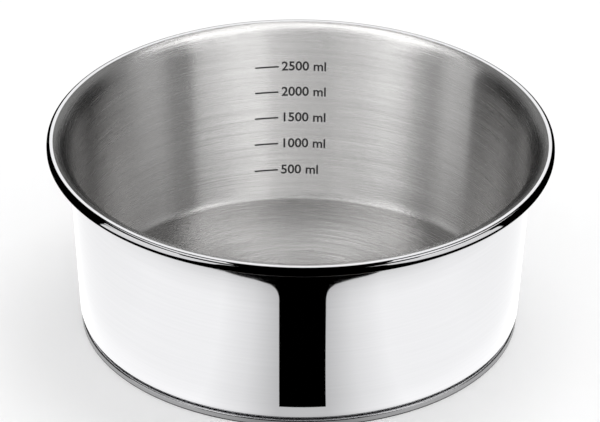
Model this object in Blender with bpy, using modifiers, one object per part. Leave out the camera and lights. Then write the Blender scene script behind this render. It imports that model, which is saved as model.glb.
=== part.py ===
"""Stainless milk pail: a drawn steel body with a pouring rim, on a three-layer base.

Metres, +Z up. The origin is the centre of the face the pail stands on.
Every piece is turned round +Z from one profile.
"""

import math

import bpy

# Driving sizes
PAIL_HEIGHT = 0.095  # standing face to the top of the rim
RIM_RADIUS = 0.120  # widest line of the rolled rim
BEAD_RADIUS = 0.0023  # rolled rim, to its outer face
BEAD_TURN = 235  # degrees that the rim is rolled round
FLARE_RADIUS = 0.0089  # bend that opens the wall into the rim, on its upper face
WALL_FOOT_RADIUS = 0.1048  # outer face of the wall where the bottom corner begins
CORNER_RADIUS = 0.0050  # bottom corner, on its outer face
BODY_SHEET = 0.0008  # steel of the body
CAP_SHEET = 0.0005  # steel of the base cap
CAP_STEP = 0.0006  # how far the cap stands inside the foot of the wall
CAP_BEND = 0.0008  # the cap's two bends, on their outer face
SPREADER_THICKNESS = 0.0018
PRESSED_GAP = 0.0003  # left between two pieces that are pressed together

# Smoothness of the turned shapes
TURN_STEPS = 72
DEGREES_PER_POINT = 30

# Places worked out from the sizes
spreader_bottom = CAP_SHEET + PRESSED_GAP
spreader_top = spreader_bottom + SPREADER_THICKNESS
body_bottom = spreader_top + PRESSED_GAP
cap_top = spreader_top + PRESSED_GAP + CAP_SHEET
cap_radius = WALL_FOOT_RADIUS - CAP_STEP
corner_centre = (WALL_FOOT_RADIUS - CORNER_RADIUS, body_bottom + CORNER_RADIUS)
flare_centre = (RIM_RADIUS - BEAD_RADIUS, PAIL_HEIGHT - FLARE_RADIUS)
bead_centre = (RIM_RADIUS - BEAD_RADIUS, PAIL_HEIGHT - BEAD_RADIUS)


def clear_objects():
    """Empty the scene, so that a second run starts afresh."""
    for old in list(bpy.data.objects):
        bpy.data.objects.remove(old)


def arc(centre, radius, start, end):
    """Points (radius, height) along a round bend, from one angle to another, both in degrees."""
    count = max(2, math.ceil(abs(end - start) / DEGREES_PER_POINT))
    angles = (math.radians(start + (end - start) * step / count) for step in range(count + 1))
    return [(centre[0] + radius * math.cos(a), centre[1] + radius * math.sin(a)) for a in angles]


def wall_lean():
    """Degrees the wall leans outwards, so that it runs straight between the corner and the flare.

    The wall crosses from the outside of one circle to the inside of the other.
    """
    across = flare_centre[0] - corner_centre[0]
    up = flare_centre[1] - corner_centre[1]
    both_radii = CORNER_RADIUS + FLARE_RADIUS - BODY_SHEET
    return math.degrees(math.atan2(across, up) - math.asin(both_radii / math.hypot(across, up)))


def body_face(depth):
    """One face of the body's sheet, from the axis to the end of the roll; depth is 0 on the inside."""
    lean = wall_lean()
    corner = arc(corner_centre, CORNER_RADIUS - BODY_SHEET + depth, -90, -lean)
    flare = arc(flare_centre, FLARE_RADIUS - depth, 180 - lean, 90)
    over = arc(bead_centre, BEAD_RADIUS - depth, 90, 0)
    under = arc(bead_centre, BEAD_RADIUS - depth, 0, 90 - BEAD_TURN)
    return [(0.0, corner[0][1])] + corner + flare + over[1:] + under[1:]


def cap_face(depth):
    """One face of the cap's sheet, from its turned-in edge to the axis; depth is 0 on the outside."""
    bend_reach = CORNER_RADIUS + PRESSED_GAP
    edge_radius = corner_centre[0] + math.sqrt(bend_reach**2 - (corner_centre[1] - cap_top) ** 2)
    bend = CAP_BEND - depth
    top = arc((cap_radius - CAP_BEND, cap_top - CAP_BEND), bend, 90, 0)
    bottom = arc((cap_radius - CAP_BEND, CAP_BEND), bend, 0, -90)
    return [(edge_radius, cap_top - depth)] + top + bottom + [(0.0, depth)]


def metal(name, colour, roughness):
    """A plain metal."""
    material = bpy.data.materials.new(name)
    material.use_nodes = True
    shader = material.node_tree.nodes["Principled BSDF"]
    shader.inputs["Base Color"].default_value = (*colour, 1.0)
    shader.inputs["Metallic"].default_value = 1.0
    shader.inputs["Roughness"].default_value = roughness
    return material


def turn(name, profile, material, collection):
    """Turn a profile of (radius, height) points round +Z; it runs down the piece's outer side."""
    mesh = bpy.data.meshes.new(name)
    edges = [(point, point + 1) for point in range(len(profile) - 1)]
    mesh.from_pydata([(radius, 0.0, height) for radius, height in profile], edges, [])
    mesh.materials.append(material)
    piece = bpy.data.objects.new(name, mesh)
    collection.objects.link(piece)
    screw = piece.modifiers.new("turn", "SCREW")
    screw.axis = "Z"
    screw.angle = 2 * math.pi
    screw.steps = TURN_STEPS
    screw.render_steps = TURN_STEPS
    screw.use_merge_vertices = True
    screw.merge_threshold = 0.00001
    screw.use_smooth_shade = True
    return piece


def make_body(collection):
    """The drawn body: floor, corner, leaning wall, flare and rolled rim in one sheet."""
    steel = metal("polished_steel", (0.66, 0.66, 0.67), 0.08)
    turn("pail_body", body_face(0.0) + body_face(BODY_SHEET)[::-1], steel, collection)


def make_spreader(collection):
    """The aluminium disc shut in between the body's floor and the cap."""
    aluminium = metal("bare_aluminium", (0.80, 0.81, 0.82), 0.45)
    radius = cap_radius - CAP_SHEET - PRESSED_GAP
    profile = [(0.0, spreader_top), (radius, spreader_top), (radius, spreader_bottom), (0.0, spreader_bottom)]
    turn("heat_spreader_disc", profile, aluminium, collection)


def make_cap(collection):
    """The thin steel cap that the pail stands on, its edge turned in under the body's corner."""
    steel = metal("satin_steel", (0.62, 0.62, 0.63), 0.25)
    turn("base_cap", cap_face(CAP_SHEET)[::-1] + cap_face(0.0), steel, collection)


def build():
    """Make the pail in its own collection."""
    clear_objects()
    collection = bpy.data.collections.new("milk_pail")
    bpy.context.scene.collection.children.link(collection)
    make_body(collection)
    make_spreader(collection)
    make_cap(collection)


build()
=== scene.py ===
import math

import bpy
import numpy as np
from mathutils import Matrix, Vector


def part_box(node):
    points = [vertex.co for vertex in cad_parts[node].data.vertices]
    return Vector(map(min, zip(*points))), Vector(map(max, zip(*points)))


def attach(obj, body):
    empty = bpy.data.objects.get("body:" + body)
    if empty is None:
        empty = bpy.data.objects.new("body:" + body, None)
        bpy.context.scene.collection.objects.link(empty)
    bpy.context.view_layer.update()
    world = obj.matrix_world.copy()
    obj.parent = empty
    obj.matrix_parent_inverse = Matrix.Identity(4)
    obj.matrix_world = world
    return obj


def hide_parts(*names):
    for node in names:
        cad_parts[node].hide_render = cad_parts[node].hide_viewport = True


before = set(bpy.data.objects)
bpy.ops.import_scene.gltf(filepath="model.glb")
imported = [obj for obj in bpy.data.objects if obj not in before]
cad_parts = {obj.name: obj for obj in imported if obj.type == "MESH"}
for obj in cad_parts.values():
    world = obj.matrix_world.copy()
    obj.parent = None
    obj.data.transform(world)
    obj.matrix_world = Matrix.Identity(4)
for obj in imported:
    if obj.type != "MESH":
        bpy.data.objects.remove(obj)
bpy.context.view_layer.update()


# ---------------------------------------------------------------- drawn body
# Floor, corner, wall and flare are one sheet of stainless steel, deep-drawn in a press. Outside it is
# buffed to a mirror, and inside it is brushed round and round while the pail turns in a lathe.

body_low, body_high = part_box("pail_body")
rim_radius = body_high[0]
rim_height = body_high[2]
floor_underside = body_low[2]
body_sheet = 0.0008
bead_radius = 0.0023  # of the rolled rim, which starts straight above the flare's centre
flare_radius = 0.0089
wall_foot_radius = 0.1048
corner_radius = 0.0050
crest_angle = 94  # degrees round the flare: the rolled rim begins here
columns_round = 360

corner_centre = np.array([wall_foot_radius - corner_radius, floor_underside + corner_radius])
flare_centre = np.array([rim_radius - bead_radius, rim_height - flare_radius])


def bend(centre, radius, start, end, points):
    """Round bend: centre plus radius times (cosine, sine) of the angles from start to end, in degrees."""
    angles = np.radians(np.linspace(start, end, points))
    return centre + radius * np.column_stack([np.cos(angles), np.sin(angles)])


def straight(start, end, points):
    """Straight run: start plus a share of the way to end, without its two ends."""
    share = np.linspace(0.0, 1.0, points + 2)[1:-1, None]
    return np.asarray(start) + share * (np.asarray(end) - np.asarray(start))


def wall_lean():
    """Degrees the wall leans: its line touches the corner circle outside and the flare circle inside.

    It is the lean of the line between the centres less the arcsine of both radii over their distance.
    """
    across, up = flare_centre - corner_centre
    both_radii = corner_radius + flare_radius - body_sheet
    return math.degrees(math.atan2(across, up) - math.asin(both_radii / math.hypot(across, up)))


def drawn_face(depth):
    """One face of the sheet from the axis up to the crest of the flare, as (radius, height) points."""
    lean = wall_lean()
    corner = bend(corner_centre, corner_radius - body_sheet + depth, -90, -lean, 14)
    flare = bend(flare_centre, flare_radius - depth, 180 - lean, crest_angle, 24)
    floor = straight((0.0, corner[0, 1]), corner[0], 24)
    wall = straight(corner[-1], flare[0], 30)
    return np.vstack([[0.0, corner[0, 1]], floor, corner, wall, flare])


def turned(name, profile, closed=False, columns=columns_round):
    """Surface of revolution: (radius, height) at angle t is (radius cos t, radius sin t, height).

    The profile is a closed loop, or it starts and ends on the axis, where one vertex closes each
    pole. The attribute "along" is the length of profile passed at each vertex.
    """
    around = np.arange(columns) * 2 * np.pi / columns
    steps = np.linalg.norm(np.diff(profile, axis=0), axis=1)
    passed = np.concatenate([[0.0], np.cumsum(steps)])
    rings = slice(None) if closed else slice(1, -1)
    radius, height = profile[rings, :1], profile[rings, 1:]
    points = np.stack([radius * np.cos(around), radius * np.sin(around), height + 0 * around], axis=-1)
    points, along = points.reshape(-1, 3), np.repeat(passed[rings], columns)
    here = np.arange(len(points)).reshape(-1, columns)
    if closed:
        here = np.vstack([here, here[0]])
    beside = np.roll(here, -1, axis=1)
    faces = np.stack([here[:-1], here[1:], beside[1:], beside[:-1]], axis=-1).reshape(-1, 4).tolist()
    if not closed:
        first, last = np.full(columns, len(points)), np.full(columns, len(points) + 1)
        faces += np.stack([first, here[0], beside[0]], axis=-1).tolist()
        faces += np.stack([last, beside[-1], here[-1]], axis=-1).tolist()
        points = np.vstack([points, [[0.0, 0.0, profile[0, 1]], [0.0, 0.0, profile[-1, 1]]]])
        along = np.append(along, passed[[0, -1]])
    mesh = bpy.data.meshes.new(name)
    mesh.from_pydata(points.tolist(), [], faces)
    mesh.attributes.new("along", "FLOAT", "POINT").data.foreach_set("value", along.astype(np.float32))
    mesh.shade_smooth()
    mesh.set_sharp_from_angle(angle=math.radians(50))
    piece = bpy.data.objects.new(name, mesh)
    bpy.context.scene.collection.objects.link(piece)
    return piece


def of_faces(piece, measure):
    """A measure of three numbers, such as "center" or "normal", of every face, as one array."""
    values = np.empty(len(piece.data.polygons) * 3)
    piece.data.polygons.foreach_get(measure, values)
    return values.reshape(-1, 3)


def second_material(piece, chosen):
    """Gives the chosen faces the piece's second material, and the others its first."""
    piece.data.polygons.foreach_set("material_index", chosen.astype(np.int32))


def new_material(name):
    """An empty node material and its Principled shader."""
    material = bpy.data.materials.new(name)
    material.use_nodes = True
    return material, material.node_tree.nodes["Principled BSDF"]


def add(owner, kind, **values):
    """A node in a material or a world; a value whose name is a socket's sets that socket."""
    node = owner.node_tree.nodes.new("ShaderNode" + kind)
    for key, value in values.items():
        label = key.replace("_", " ").title()
        if label in node.inputs:
            node.inputs[label].default_value = value
        else:
            setattr(node, key, value)
    return node


def join(owner, *pairs):
    """Links outputs to inputs, given as pairs, in a material or a world."""
    for output, socket in pairs:
        owner.node_tree.links.new(output, socket)


def ring_streaks(material, length, pitch, detail=2.0):
    """Noise drawn out round the axis: object X and Y divided by length, and "along" divided by pitch."""
    place = add(material, "TexCoord")
    split = add(material, "SeparateXYZ")
    along = add(material, "Attribute", attribute_name="along")
    merge = add(material, "CombineXYZ")
    stretch = add(material, "VectorMath", operation="MULTIPLY")
    stretch.inputs[1].default_value = (1 / length, 1 / length, 1 / pitch)
    noise = add(material, "TexNoise", scale=1.0, detail=detail, roughness=0.6)
    join(
        material,
        (place.outputs["Object"], split.inputs[0]),
        (split.outputs["X"], merge.inputs["X"]),
        (split.outputs["Y"], merge.inputs["Y"]),
        (along.outputs["Fac"], merge.inputs["Z"]),
        (merge.outputs[0], stretch.inputs[0]),
        (stretch.outputs[0], noise.inputs["Vector"]),
    )
    return noise.outputs["Fac"]


def ranged(material, value, low, high, start=0.3, end=0.7):
    """Maps a value between start and end onto low to high."""
    node = add(material, "MapRange", from_min=start, from_max=end, to_min=low, to_max=high)
    join(material, (value, node.inputs["Value"]))
    return node.outputs["Result"]


def blended_colour(material, share, dark, light):
    """A colour between dark and light."""
    node = add(material, "Mix", data_type="RGBA")
    node.inputs[6].default_value = (*dark, 1.0)
    node.inputs[7].default_value = (*light, 1.0)
    join(material, (share, node.inputs[0]))
    return node.outputs[2]


def brushed_normal(material, lift, steepest, length, pitch):
    """The normal tilted along the profile, as the sides of the brushing's grooves are.

    The tilt is a lift, which fades out as the normal's Z goes from 0 to 0.7, plus ring streaks
    between -steepest and steepest.
    """
    groove = ring_streaks(material, length, pitch)
    face = add(material, "NewGeometry")
    split = add(material, "SeparateXYZ")
    tangent = add(material, "Tangent", direction_type="RADIAL", axis="Z")
    up = add(material, "VectorMath", operation="CROSS_PRODUCT")
    tilt = add(material, "Math", operation="ADD")
    lean = add(material, "VectorMath", operation="SCALE")
    total = add(material, "VectorMath", operation="ADD")
    unit = add(material, "VectorMath", operation="NORMALIZE")
    join(
        material,
        (face.outputs["Normal"], split.inputs[0]),
        (tangent.outputs["Tangent"], up.inputs[0]),
        (face.outputs["Normal"], up.inputs[1]),
        (ranged(material, split.outputs["Z"], lift, 0.0, 0.0, 0.7), tilt.inputs[0]),
        (ranged(material, groove, -steepest, steepest, 0.25, 0.75), tilt.inputs[1]),
        (up.outputs[0], lean.inputs[0]),
        (tilt.outputs[0], lean.inputs["Scale"]),
        (face.outputs["Normal"], total.inputs[0]),
        (lean.outputs[0], total.inputs[1]),
        (total.outputs[0], unit.inputs[0]),
    )
    return unit.outputs[0]


def brushed_steel():
    """Steel brushed round the axis: its fine grooves spread a reflection up and down the wall."""
    material, shader = new_material("brushed_inside")
    fine = ring_streaks(material, length=0.035, pitch=0.0004, detail=3.0)
    broad = ring_streaks(material, length=0.06, pitch=0.003)
    tone = add(material, "Math", operation="ADD")
    tangent = add(material, "Tangent", direction_type="RADIAL", axis="Z")
    colour = blended_colour(material, tone.outputs[0], (0.46, 0.455, 0.45), (0.54, 0.535, 0.53))
    normal = brushed_normal(material, lift=0.55, steepest=0.35, length=0.04, pitch=0.00006)
    shader.inputs["Metallic"].default_value = 1.0
    shader.inputs["Anisotropic"].default_value = 1.0
    shader.inputs["Anisotropic Rotation"].default_value = 0.25
    join(
        material,
        (ranged(material, fine, 0.0, 0.5), tone.inputs[0]),
        (ranged(material, broad, 0.0, 0.5), tone.inputs[1]),
        (colour, shader.inputs["Base Color"]),
        (ranged(material, fine, 0.24, 0.28), shader.inputs["Roughness"]),
        (normal, shader.inputs["Normal"]),
        (tangent.outputs["Tangent"], shader.inputs["Tangent"]),
    )
    return material


def buffed_steel():
    """Mirror-buffed steel with the faint waves of the drawing press and hairline wear."""
    material, shader = new_material("buffed_outside")
    place = add(material, "TexCoord")
    waves = add(material, "TexNoise", scale=22.0, detail=1.0)
    hairlines = ring_streaks(material, length=0.05, pitch=0.0012, detail=2.0)
    swell = add(material, "Bump", strength=0.05, distance=0.0001)
    colour = blended_colour(material, hairlines, (0.55, 0.55, 0.56), (0.59, 0.59, 0.60))
    shader.inputs["Metallic"].default_value = 1.0
    join(
        material,
        (place.outputs["Object"], waves.inputs["Vector"]),
        (colour, shader.inputs["Base Color"]),
        (ranged(material, hairlines, 0.02, 0.04), shader.inputs["Roughness"]),
        (waves.outputs["Fac"], swell.inputs["Height"]),
        (swell.outputs["Normal"], shader.inputs["Normal"]),
    )
    return material


inner_face = drawn_face(0.0)
body = turned("drawn_body", np.vstack([inner_face, drawn_face(body_sheet)[::-1]]))
buffed = buffed_steel()
body.data.materials.append(brushed_steel())
body.data.materials.append(buffed)

# The inner face's rings come first, and its middle is closed by the higher of the two poles.
middles = of_faces(body, "center")
inner_rings = np.arange(len(middles)) < columns_round * (len(inner_face) - 2)
near_axis = np.hypot(middles[:, 0], middles[:, 1]) < 0.01
above_middle = middles[:, 2] > drawn_face(body_sheet / 2)[0, 1]
second_material(body, ~(inner_rings | (near_axis & above_middle)))
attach(body, "root")
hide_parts("pail_body")


# ---------------------------------------------------------------- rolled rim
# The edge of the same sheet, rolled outwards and down over a wheel into a pouring lip. It is buffed
# with the wall, except underneath, where its colour is painted near black as painted shade.

bead_turn = 235
roll_top = 0.0015  # the wheel leaves the outside of the roll nearly flat between this bend
roll_foot = 0.00085  # and this one
roll_bulge = 8  # degrees that the nearly flat side turns through, above and below its middle
bead_centre = np.array([rim_radius - bead_radius, rim_height - bead_radius])


def rolled_face(depth):
    """One face of the rolled edge, from the crest of the flare to the end of the roll.

    Three bends meet without a corner down its outside: the top, the slack side and the foot. The
    side's radius is what is left of the height, divided by twice the sine of the bulge.
    """
    slope = math.radians(roll_bulge)
    side = (2 * bead_radius - (roll_top + roll_foot) * (1 - math.sin(slope))) / (2 * math.sin(slope))
    outwards = np.array([math.cos(slope), math.sin(slope)])
    top_radius = rim_radius - roll_top * outwards[0] - side * (1 - outwards[0])
    top_centre = np.array([top_radius, rim_height - roll_top])
    side_centre = top_centre + (roll_top - side) * outwards
    foot_centre = side_centre + (side - roll_foot) * outwards * (1, -1)
    crest = bend(flare_centre, flare_radius - depth, crest_angle, 90, 5)
    top = bend(top_centre, roll_top - depth, 90, roll_bulge, 24)
    flank = bend(side_centre, side - depth, roll_bulge, -roll_bulge, 10)
    foot = bend(foot_centre, roll_foot - depth, -roll_bulge, -90, 14)
    turned_in = bend(bead_centre, bead_radius - depth, -90, 90 - bead_turn, 10)
    return np.vstack([crest, top, flank[1:], foot[1:], turned_in])


def underside_painted_shade():
    """Steel painted near black with a faint mottle, as painted shade under the rolled rim."""
    material, shader = new_material("painted_shade_under_roll")
    place = add(material, "TexCoord")
    scale = add(material, "TexNoise", scale=400.0, detail=3.0)
    # Painted shade: a near-black colour that stands in for the shade under the roll.
    colour = blended_colour(material, scale.outputs["Fac"], (0.05, 0.05, 0.05), (0.12, 0.115, 0.11))
    shader.inputs["Metallic"].default_value = 1.0
    join(
        material,
        (place.outputs["Object"], scale.inputs["Vector"]),
        (colour, shader.inputs["Base Color"]),
        (ranged(material, scale.outputs["Fac"], 0.35, 0.5), shader.inputs["Roughness"]),
    )
    return material


rim = turned("rolled_rim", np.vstack([rolled_face(0.0), rolled_face(body_sheet)[::-1]]), closed=True)
rim.data.materials.append(buffed)
rim.data.materials.append(underside_painted_shade())
# The faces that look downwards take the painted shade.
second_material(rim, of_faces(rim, "normal")[:, 2] < -0.3)
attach(rim, "root")
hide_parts("pail_body")


# ---------------------------------------------------------------- heat spreader
# A bare aluminium disc, blanked from plate and brazed under the floor, which spreads a hob's heat.
# The base cap shuts it in all round.

spreader_low, spreader_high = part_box("heat_spreader_disc")
spreader_edge = 0.0002


def blanked_aluminium():
    """Dull aluminium with the mottle of rolled plate."""
    material, shader = new_material("bare_aluminium")
    place = add(material, "TexCoord")
    mottle = add(material, "TexNoise", scale=180.0, detail=3.0)
    colour = blended_colour(material, mottle.outputs["Fac"], (0.74, 0.75, 0.76), (0.86, 0.87, 0.88))
    shader.inputs["Metallic"].default_value = 1.0
    join(
        material,
        (place.outputs["Object"], mottle.inputs["Vector"]),
        (colour, shader.inputs["Base Color"]),
        (ranged(material, mottle.outputs["Fac"], 0.38, 0.52), shader.inputs["Roughness"]),
    )
    return material


def disc_profile(radius, low, high, edge):
    """Flat disc, its edges rounded by quarter circles, from the middle of its top to that of its foot."""
    top = bend(np.array([radius - edge, high - edge]), edge, 90, 0, 5)
    foot = bend(np.array([radius - edge, low + edge]), edge, 0, -90, 5)
    upper = straight((0.0, high), top[0], 6)
    lower = straight(foot[-1], (0.0, low), 6)
    return np.vstack([[0.0, high], upper, top, foot, lower, [0.0, low]])


disc = disc_profile(spreader_high[0], spreader_low[2], spreader_high[2], spreader_edge)
spreader = turned("heat_spreader", disc)
spreader.data.materials.append(blanked_aluminium())
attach(spreader, "root")
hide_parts("heat_spreader_disc")


# ---------------------------------------------------------------- base cap
# A shallow cup of thin stainless steel, pressed over the spreader and turned in under the corner of
# the body. Its underside is faced on a lathe, which leaves fine rings.

cap_low, cap_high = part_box("base_cap")
cap_sheet = 0.0005
cap_bend = 0.0008
pressed_gap = 0.0003


def cap_face(depth):
    """One face of the cap's sheet from its turned-in edge to the axis; depth is 0 on the outside."""
    top_height, radius = cap_high[2], cap_high[0]
    reach = corner_radius + pressed_gap
    edge = corner_centre[0] + math.sqrt(reach**2 - (corner_centre[1] - top_height) ** 2)
    top = bend(np.array([radius - cap_bend, top_height - cap_bend]), cap_bend - depth, 90, 0, 10)
    foot = bend(np.array([radius - cap_bend, cap_low[2] + cap_bend]), cap_bend - depth, 0, -90, 10)
    middle = (0.0, cap_low[2] + depth)
    return np.vstack([[edge, top_height - depth], top, foot, straight(foot[-1], middle, 30), middle])


def faced_steel():
    """Satin steel with the fine rings of a facing cut."""
    material, shader = new_material("faced_cap")
    rings = ring_streaks(material, length=0.25, pitch=0.0006)
    cut = add(material, "Bump", strength=0.3, distance=0.00005)
    tangent = add(material, "Tangent", direction_type="RADIAL", axis="Z")
    colour = blended_colour(material, rings, (0.52, 0.52, 0.53), (0.68, 0.68, 0.69))
    shader.inputs["Metallic"].default_value = 1.0
    shader.inputs["Anisotropic"].default_value = 0.6
    shader.inputs["Anisotropic Rotation"].default_value = 0.25
    join(
        material,
        (colour, shader.inputs["Base Color"]),
        (ranged(material, rings, 0.16, 0.26), shader.inputs["Roughness"]),
        (rings, cut.inputs["Height"]),
        (cut.outputs["Normal"], shader.inputs["Normal"]),
        (tangent.outputs["Tangent"], shader.inputs["Tangent"]),
    )
    return material


cap = turned("base_cap_cup", np.vstack([cap_face(cap_sheet)[::-1], cap_face(0.0)]))
cap.data.materials.append(faced_steel())
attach(cap, "root")
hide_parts("base_cap")


# ---------------------------------------------------------------- capacity marks
# Five short strokes with their volumes, in matt black ink fired on the inside wall. Each stroke lies
# at the level where the pail holds that much.

volumes_ml = (2500, 2000, 1500, 1000, 500)
ink_depth = 0.00004
stroke_height = 0.0008
stroke_reach = (-0.0228, -0.0112)  # along the wall, from the middle of the back
figures_start = -0.0098
figures_size = 0.0068
figures_weight = 0.00012  # how far their outline is let out


def fill_levels(volumes):
    """Heights at which the pail holds these volumes in ml, from pi r squared summed up the inside."""
    radius, height = inner_face[: np.argmax(inner_face[:, 1])].T
    slices = np.pi * (radius[1:] ** 2 + radius[1:] * radius[:-1] + radius[:-1] ** 2) / 3 * np.diff(height)
    return np.interp(np.array(volumes) * 1e-6, np.concatenate([[0.0], np.cumsum(slices)]), height)


def on_wall(across, height, proud):
    """Wraps (across, height) onto the back of the inside wall, raised from it by proud.

    The angle is across divided by the wall's radius at that height, from the +Y axis towards +X.
    """
    wall = slice(np.argmax(inner_face[:, 1] > corner_centre[1]), np.argmax(inner_face[:, 1]))
    radius = np.interp(height, inner_face[wall, 1], inner_face[wall, 0])
    angle = across / radius
    return np.stack([(radius - proud) * np.sin(angle), (radius - proud) * np.cos(angle), height], axis=-1)


def stroke(level, columns=24):
    """A closed bar of ink on the wall: a grid of columns by four corners round its section."""
    across = np.linspace(*stroke_reach, columns)[:, None]
    rise = np.array([-0.5, 0.5, 0.5, -0.5]) * stroke_height
    proud = np.array([1.0, 1.0, -1.0, -1.0]) * ink_depth
    points = on_wall(across + 0 * rise, level + rise + 0 * across, proud).reshape(-1, 3)
    here = np.arange(columns * 4).reshape(columns, 4)
    round_next = np.roll(here, -1, axis=1)
    sides = np.stack([here[:-1], here[1:], round_next[1:], round_next[:-1]], axis=-1).reshape(-1, 4)
    return points, np.vstack([sides, here[0], here[-1][::-1]])


def figures(text, level):
    """Plain figures as a thin closed slab, wrapped onto the wall beside their stroke."""
    curve = bpy.data.curves.new("figures", "FONT")
    curve.body = text
    curve.size = figures_size
    curve.extrude = ink_depth
    curve.offset = figures_weight
    curve.resolution_u = 6
    curve.align_y = "CENTER"
    flat = bpy.data.objects.new("figures", curve)
    bpy.context.scene.collection.objects.link(flat)
    bpy.context.view_layer.update()
    mesh = bpy.data.meshes.new_from_object(flat.evaluated_get(bpy.context.evaluated_depsgraph_get()))
    flat_points = np.empty(len(mesh.vertices) * 3)
    mesh.vertices.foreach_get("co", flat_points)
    across, up, out = flat_points.reshape(-1, 3).T
    mesh.vertices.foreach_set("co", on_wall(figures_start + across, level + up, out).ravel())
    bpy.data.objects.remove(flat)
    return mesh


def fired_ink():
    """Matt black ink, a little greyer where it is thin."""
    material, shader = new_material("fired_ink")
    place = add(material, "TexCoord")
    grain = add(material, "TexNoise", scale=2500.0, detail=2.0)
    colour = blended_colour(material, grain.outputs["Fac"], (0.008, 0.008, 0.009), (0.035, 0.035, 0.037))
    join(
        material,
        (place.outputs["Object"], grain.inputs["Vector"]),
        (colour, shader.inputs["Base Color"]),
        (ranged(material, grain.outputs["Fac"], 0.45, 0.65), shader.inputs["Roughness"]),
    )
    return material


ink = fired_ink()
for volume, level in zip(volumes_ml, fill_levels(volumes_ml)):
    points, faces = stroke(level)
    stroke_mesh = bpy.data.meshes.new(f"stroke_{volume}")
    stroke_mesh.from_pydata(points.tolist(), [], faces.tolist())
    meshes = {"stroke": stroke_mesh, "figures": figures(f"{volume} ml", level)}
    for kind, mesh in meshes.items():
        mark = bpy.data.objects.new(f"mark_{volume}_{kind}", mesh)
        bpy.context.scene.collection.objects.link(mark)
        mark.data.materials.clear()
        mark.data.materials.append(ink)
        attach(mark, "root")


# ---------------------------------------------------------------- floor and studio
# A plain pale floor under an even white sky, which the camera and matt surfaces see. Polished steel
# sees darkness there instead, and sheets of light, each hung for some of the pieces only, so that
# every edge and fold of the metal is drawn.

sky_light = 1.1
card_distance = 1.6
dome_light = 3.3
wall_light = 1.52
base_light = 0.4 * wall_light
rim_light = 1.15
facing = 1.3  # degrees to the right of the front, where the wall's reflections have their middle

# Sheets on the floor lie at heights of their own, because clear sheets in one plane black each other out.
wall_sheet_height = 0.0002
board_height = 0.0004
rim_sheet_height = 0.0006
base_sheet_height = 0.0008

clear_light = bpy.data.materials.new("clear_light")
clear_light.use_nodes = True
amount = add(clear_light, "Attribute", attribute_name="level")
light = add(clear_light, "Emission")
clear = add(clear_light, "BsdfTransparent")
both = add(clear_light, "AddShader")
join(
    clear_light,
    (amount.outputs["Fac"], light.inputs["Strength"]),
    (light.outputs[0], both.inputs[0]),
    (clear.outputs[0], both.inputs[1]),
    (both.outputs[0], clear_light.node_tree.nodes["Material Output"].inputs["Surface"]),
)


def studio_sheet(name, points, material):
    """A sheet through a grid of points, rows by columns by three."""
    rows, columns = points.shape[:2]
    here = np.arange(rows * columns).reshape(rows, columns)
    quads = np.stack([here[:-1, :-1], here[:-1, 1:], here[1:, 1:], here[1:, :-1]], axis=-1).reshape(-1, 4)
    mesh = bpy.data.meshes.new(name)
    mesh.from_pydata(points.reshape(-1, 3).tolist(), [], quads.tolist())
    mesh.materials.append(material)
    sheet = bpy.data.objects.new(name, mesh)
    bpy.context.scene.collection.objects.link(sheet)
    return sheet


def only_in_gloss(sheet):
    """Hides a studio sheet from everything but reflections."""
    sheet.visible_camera = False
    sheet.visible_diffuse = False
    sheet.visible_shadow = False
    sheet.visible_transmission = False


def sheet_of_light(name, points, levels, receivers):
    """A clear sheet that shines for its receivers only, with one level of light or one for each point."""
    sheet = studio_sheet(name, points, clear_light)
    only_in_gloss(sheet)
    values = np.broadcast_to(levels, points.shape[:2]).astype(np.float32).ravel()
    sheet.data.attributes.new("level", "FLOAT", "POINT").data.foreach_set("value", values)
    lit = bpy.data.collections.new(name)
    for receiver in receivers:
        lit.objects.link(receiver)
    sheet.light_linking.receiver_collection = lit


def overhead(first, second, third, fourth):
    """A flat sheet card_distance above the rim; each corner is (x, y) for one unit of height."""
    corners = np.column_stack([[first, fourth, second, third], np.ones(4)]) * card_distance
    return corners.reshape(2, 2, 3) + [0, 0, rim_height]


def direction(azimuth, elevation):
    """Unit vectors (sin a cos e, -cos a cos e, sin e); the azimuth a starts at the front."""
    flat = np.cos(elevation)
    way = np.sin(azimuth) * flat, -np.cos(azimuth) * flat, np.sin(elevation)
    return np.stack(np.broadcast_arrays(*way), axis=-1)


def bent(azimuths, elevations):
    """A sheet bent round the pail, card_distance from the middle of its rim."""
    azimuth = np.radians(np.linspace(*azimuths, 24))[:, None]
    elevation = np.radians(np.linspace(*elevations, 12))
    return card_distance * direction(azimuth, elevation) + [0, 0, rim_height]


def stripes(spot, elevation, reach=1.9, wall=0.11, looking_down=30):
    """What the grooves throw back: a row for each spot, an angle from the back round the inside wall.

    Seen from the front, a groove at angle t throws light from every elevation e along the azimuth
    t + arcsin(cos(looking_down) sin t / cos e), and the row lies there, at this reach from the middle.
    """
    t = np.radians(spot)[:, None]
    share = math.cos(math.radians(looking_down)) * np.sin(t) / np.cos(elevation)
    azimuth = t + np.arcsin(np.clip(share, -1, 1))
    start = -wall * direction(t, 0 * azimuth)
    way = direction(azimuth, elevation)
    inwards = (start * way).sum(axis=-1, keepdims=True)
    return start + (np.sqrt(inwards**2 + reach**2 - wall**2) - inwards) * way + [0, 0, rim_height]


def floor_rings(reaches, angles, height):
    """A sheet lying just over the floor: rings of these rim radii by angles from the front, in degrees."""
    flat = direction(np.radians(angles), 0 * np.reshape(reaches, (-1, 1)))
    return rim_radius * np.reshape(reaches, (-1, 1, 1)) * flat + [0, 0, height]


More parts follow.
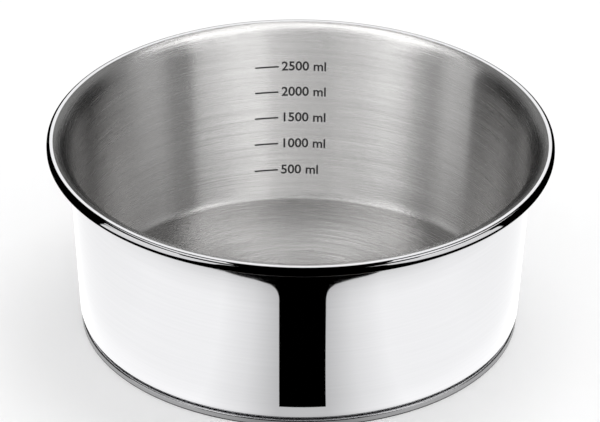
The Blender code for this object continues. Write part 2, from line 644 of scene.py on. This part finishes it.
# The rolled rim sees two cards overhead, a narrow one behind and two low ones at the sides.
left = overhead((-0.27, 0.0), (-0.60, -1.0), (-1.1, -0.8), (-0.7, 0.6))
right = overhead((0.36, 0.0), (0.85, -1.0), (1.5, -0.8), (1.1, 0.8))
sheet_of_light("overhead_left", left, 1.35, [rim, cap])
sheet_of_light("overhead_right", right, 1.5, [rim, cap])
sheet_of_light("narrow_back", bent((168, 192), (20, 60)), 1.5, [rim, cap])
sheet_of_light("low_left", bent((-88, -50), (-3.4, 17)), 1.2, [rim, cap])
sheet_of_light("low_right", bent((50, 85), (-3.4, 12)), 1.1, [rim, cap])

# The brushed inside sees a striped dome, dimmer high up. Each band is an angle round the inside wall
# from the back, rising to the left, and the light it has there; between two bands it changes evenly.
bands = (
    (-90, 0), (-60, 0), (-50, 0.04), (-48.5, 0.24), (-46, 0.27), (-41, 0.3), (-36, 0.17),
    (-31.5, 0.27), (-27, 0.47), (-22.5, 0.54), (-18.5, 0.49), (-14.5, 0.42), (-10.5, 0.38),
    (-6.5, 0.33), (0, 0.36), (7, 0.44), (8.2, 0.46), (9, 0.56), (13.5, 0.58), (17, 0.56),
    (21, 0.46), (25.5, 0.37), (28.3, 0.3), (29.3, 0.13), (31, 0.11), (35, 0.12), (38, 0.2),
    (40, 0.23), (45, 0.21), (52, 0.1), (57, 0.05), (60, 0.02), (65, 0), (90, 0),
)
spot, elevation = np.linspace(-88, 88, 353), np.radians(np.linspace(3, 80, 30))
fading = np.interp(np.degrees(elevation), [44, 56], [1.0, 0.3])
dome_levels = dome_light * np.interp(spot, *np.transpose(bands))[:, None] * fading
sheet_of_light("striped_dome", stripes(spot, elevation), dome_levels, [body])
sheet_of_light("high_back", bent((150, 210), (25, 62)), 0.45, [body])
behind = overhead((-0.5, 0.0), (-0.5, 0.6), (0.5, 0.6), (0.5, 0.0))
sheet_of_light("overhead_back", behind, 3.6, [body])

# The outside of the wall sees a lit floor round the pail: dimmer at the foot of the wall and far out,
# dimmer straight in front and behind, and dark past an edge, so that the wall's top is drawn dark.
near = [np.linspace(0.80, 1.60, 33), np.linspace(1.61, 1.90, 30)]
far = [np.linspace(1.92, 3.0, 37), np.geomspace(3.1, 60, 25)]
reaches, angles = np.concatenate(near + far), np.linspace(-180, 180, 361)
aside, ring = np.abs(angles - facing), reaches[:, None]
foot = np.interp(ring, [0.80, 0.84, 0.87, 0.92, 1.04], [0.30, 0.70, 0.95, 1.08, 1.0])
beyond = np.interp(ring, [1.60, 1.70, 1.76, 1.80, 4.0], [1.0, 0.92, 0.80, 0.70, 0.70])
beside = np.interp(aside, [7, 10, 18, 30], [0.55, 0.62, 0.82, 1.0])
flank = np.interp(aside, [60, 120, 170], [1.0, 0.86, 0.70])
floor_end = np.interp(aside, [37, 46, 60, 90], [1.796, 1.86, 2.0, 2.6])
edge_width = 0.03  # rim radii over which a sheet's light begins or ends
past_end = np.clip((ring - floor_end) / edge_width, 0, 1)
past_end = past_end * np.interp(aside, [88, 115], [1.0, 0.0]) * np.interp(ring, [3.0, 5.0], [1.0, 0.0])
floor_share = foot * beyond * beside * flank * (1 - past_end)
wall_sheet = floor_rings(reaches, angles, wall_sheet_height)
base_sheet = floor_rings(reaches, angles, base_sheet_height)
sheet_of_light("floor_for_wall", wall_sheet, wall_light * floor_share, [body])
sheet_of_light("floor_for_base", base_sheet, base_light * floor_share, [cap, spreader])

# The roll sees a lit floor only to the left and right of the front, closer in towards the sides.
rim_start = np.interp(aside, [25, 28, 32, 40, 50, 90], [60, 5.0, 2.9, 2.35, 2.15, 1.9])
rim_levels = rim_light * np.clip((ring - rim_start) / edge_width, 0, 1) * (angles > -80) * (angles < 82)
sheet_of_light("floor_for_rim", floor_rings(reaches, angles, rim_sheet_height), rim_levels, [rim])

# A black board lies on the floor in front, and the wall draws it as one dark band: a neck that widens
# slowly going out, then swings open along a quarter circle and runs on as a wide bar.
rows = [np.linspace(0.988, 1.60, 40), np.linspace(1.605, 1.80, 60), np.linspace(1.81, 3.0, 10)]
reaches = np.concatenate(rows)
swing = np.clip((reaches - 1.66) / 0.085, 0, 1)
neck = 0.0945 + 0.200 * (reaches - 0.885) + 0.09 * (1 - np.sqrt(1 - swing**2))  # half its width
widening = [1.745, 1.756, 1.769, 1.779, 1.781, 1.787, 1.795, 1.796]
half_angle = np.interp(reaches, widening, [11.2, 12.2, 16, 19.8, 23.7, 27.7, 31.7, 37])
half_angle = np.where(reaches < 1.745, np.degrees(np.arcsin(neck / reaches)), half_angle)
board = floor_rings(reaches, half_angle[:, None] * np.linspace(-1, 1, 33) + facing, board_height)
black, shader = new_material("black_board")
shader.inputs["Base Color"].default_value = (0.0, 0.0, 0.0, 1.0)
shader.inputs["Specular IOR Level"].default_value = 0.0
only_in_gloss(studio_sheet("black_board", board, black))

floor_material, shader = new_material("pale_floor")
shader.inputs["Base Color"].default_value = (0.8, 0.8, 0.8, 1.0)
shader.inputs["Roughness"].default_value = 1.0
shader.inputs["Specular IOR Level"].default_value = 0.0
floor_corners = 8.0 * np.array([[[-1, -1, 0], [1, -1, 0]], [[-1, 1, 0], [1, 1, 0]]])
studio_sheet("floor", floor_corners, floor_material).visible_glossy = False

# A soft light behind on the right lays the pail's shadow on the floor. Polished steel doesn't see it.
lamp = bpy.data.lights.new("soft_light", "AREA")
lamp.size = 1.0
lamp.energy = 8.0
soft_light = bpy.data.objects.new("soft_light", lamp)
bpy.context.scene.collection.objects.link(soft_light)
soft_light.location = (0.3, 0.5, 1.7)
soft_light.rotation_euler = soft_light.location.to_track_quat("Z", "Y").to_euler()
soft_light.visible_glossy = False

world = bpy.data.worlds.new("studio")
bpy.context.scene.world = world
world.use_nodes = True

# The sky shines on everything but polished steel, which sees it only by way of a matt surface.
background = world.node_tree.nodes["Background"]
background.inputs["Color"].default_value = (1.0, 1.0, 1.0, 1.0)
path = add(world, "LightPath")
seen_in_gloss = add(world, "Math", operation="SUBTRACT", use_clamp=True)
dimmer = add(world, "MapRange", to_min=sky_light, to_max=0.0)
join(
    world,
    (path.outputs["Is Glossy Ray"], seen_in_gloss.inputs[0]),
    (path.outputs["Diffuse Depth"], seen_in_gloss.inputs[1]),
    (seen_in_gloss.outputs[0], dimmer.inputs["Value"]),
    (dimmer.outputs["Result"], background.inputs["Strength"]),
)

scene = bpy.context.scene
scene.view_settings.view_transform = "Standard"


# ---------------------------------------------------------------- camera
# A long lens some way off, looking down into the pail from the front, and rolled by half a degree.
# Its rise is where it stands, and its pitch is where it looks.

camera_distance = 22 * rim_radius
camera_rise = math.radians(29.47)
camera_pitch = math.radians(30.21)
camera_roll = math.radians(0.59)

data = bpy.data.cameras.new("camera")
data.sensor_width = 36.0
data.lens = 335.6
data.clip_end = 50.0
camera = bpy.data.objects.new("camera", data)
scene.collection.objects.link(camera)
scene.camera = camera
away = camera_distance * math.cos(camera_rise)
above = camera_distance * math.sin(camera_rise)
camera.location = (0.0, -away, rim_height + above)
turn = Matrix.Rotation(math.pi / 2 - camera_pitch, 3, "X") @ Matrix.Rotation(camera_roll, 3, "Z")
camera.rotation_euler = turn.to_euler()
